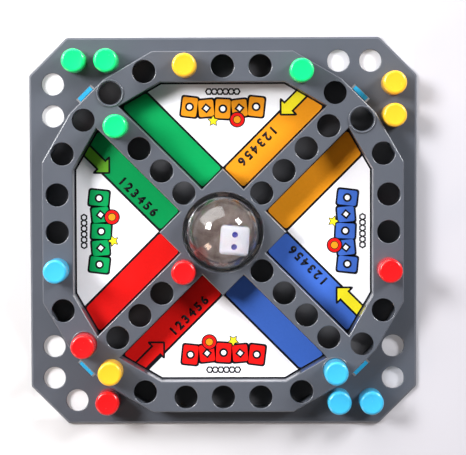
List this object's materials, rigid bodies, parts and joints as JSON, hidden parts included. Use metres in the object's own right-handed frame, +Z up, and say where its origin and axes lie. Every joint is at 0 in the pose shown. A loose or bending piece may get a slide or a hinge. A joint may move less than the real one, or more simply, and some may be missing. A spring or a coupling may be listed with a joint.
{
  "type": "dice board game",
  "caption": "Flat eight-sided game tray with a raised ring of peg holes, four card windows, loose pegs and a press-down clear dome over a die.",
  "frame": {"origin": "centre of the tray's footprint, on the surface it stands on", "axes": "+Z up through the dome, +Y towards the top edge of the picture, +X to its right"},
  "size_m": [0.2, 0.2, 0.0318],
  "materials": {
    "grey_plastic": "satin",
    "card": "printed, coated card",
    "cover_plastic": "satin",
    "spring_steel": "brushed",
    "clear_plastic": "clear, polished",
    "die_plastic": "polished",
    "green_plastic": "polished",
    "yellow_plastic": "polished",
    "blue_plastic": "polished",
    "red_plastic": "polished"
  },
  "bodies": {
    "board": {"top_shell": "grey_plastic", "printed_card": "card", "bottom_cover": "cover_plastic", "popper_plate": "spring_steel"},
    "dome": {"dome": "clear_plastic"},
    "die": {"die": "die_plastic"},
    "green_peg_1": {"green_peg_1": "green_plastic"},
    "green_peg_2": {"green_peg_2": "green_plastic"},
    "green_peg_3": {"green_peg_3": "green_plastic"},
    "green_peg_4": {"green_peg_4": "green_plastic"},
    "yellow_peg_1": {"yellow_peg_1": "yellow_plastic"},
    "yellow_peg_2": {"yellow_peg_2": "yellow_plastic"},
    "yellow_peg_3": {"yellow_peg_3": "yellow_plastic"},
    "yellow_peg_4": {"yellow_peg_4": "yellow_plastic"},
    "blue_peg_1": {"blue_peg_1": "blue_plastic"},
    "blue_peg_2": {"blue_peg_2": "blue_plastic"},
    "blue_peg_3": {"blue_peg_3": "blue_plastic"},
    "blue_peg_4": {"blue_peg_4": "blue_plastic"},
    "red_peg_1": {"red_peg_1": "red_plastic"},
    "red_peg_2": {"red_peg_2": "red_plastic"},
    "red_peg_3": {"red_peg_3": "red_plastic"},
    "red_peg_4": {"red_peg_4": "red_plastic"}
  },
  "joints": [
    {"name": "dome_press", "type": "slide", "parent": "board", "child": "dome", "axis": [0, 0, -1], "range_m": [0, 0.0022], "stiffness_N_per_m": 1500, "springref_m": -0.002, "deforming": ["popper_plate"]},
    {"name": "die_hop", "type": "slide", "parent": "board", "child": "die", "axis": [-0.6337, 0.4436, 0.6337], "range_m": [0, 0.007]},
    {"name": "lift_green_peg_1", "type": "slide", "parent": "board", "child": "green_peg_1", "axis": [0, 0, 1], "range_m": [0, 0.02]},
    {"name": "lift_green_peg_2", "type": "slide", "parent": "board", "child": "green_peg_2", "axis": [0, 0, 1], "range_m": [0, 0.02]},
    {"name": "lift_green_peg_3", "type": "slide", "parent": "board", "child": "green_peg_3", "axis": [0, 0, 1], "range_m": [0, 0.02]},
    {"name": "lift_green_peg_4", "type": "slide", "parent": "board", "child": "green_peg_4", "axis": [0, 0, 1], "range_m": [0, 0.02]},
    {"name": "lift_yellow_peg_1", "type": "slide", "parent": "board", "child": "yellow_peg_1", "axis": [0, 0, 1], "range_m": [0, 0.02]},
    {"name": "lift_yellow_peg_2", "type": "slide", "parent": "board", "child": "yellow_peg_2", "axis": [0, 0, 1], "range_m": [0, 0.02]},
    {"name": "lift_yellow_peg_3", "type": "slide", "parent": "board", "child": "yellow_peg_3", "axis": [0, 0, 1], "range_m": [0, 0.02]},
    {"name": "lift_yellow_peg_4", "type": "slide", "parent": "board", "child": "yellow_peg_4", "axis": [0, 0, 1], "range_m": [0, 0.02]},
    {"name": "lift_blue_peg_1", "type": "slide", "parent": "board", "child": "blue_peg_1", "axis": [0, 0, 1], "range_m": [0, 0.02]},
    {"name": "lift_blue_peg_2", "type": "slide", "parent": "board", "child": "blue_peg_2", "axis": [0, 0, 1], "range_m": [0, 0.02]},
    {"name": "lift_blue_peg_3", "type": "slide", "parent": "board", "child": "blue_peg_3", "axis": [0, 0, 1], "range_m": [0, 0.02]},
    {"name": "lift_blue_peg_4", "type": "slide", "parent": "board", "child": "blue_peg_4", "axis": [0, 0, 1], "range_m": [0, 0.02]},
    {"name": "lift_red_peg_1", "type": "slide", "parent": "board", "child": "red_peg_1", "axis": [0, 0, 1], "range_m": [0, 0.02]},
    {"name": "lift_red_peg_2", "type": "slide", "parent": "board", "child": "red_peg_2", "axis": [0, 0, 1], "range_m": [0, 0.02]},
    {"name": "lift_red_peg_3", "type": "slide", "parent": "board", "child": "red_peg_3", "axis": [0, 0, 1], "range_m": [0, 0.02]},
    {"name": "lift_red_peg_4", "type": "slide", "parent": "board", "child": "red_peg_4", "axis": [0, 0, 1], "range_m": [0, 0.02]}
  ]
}
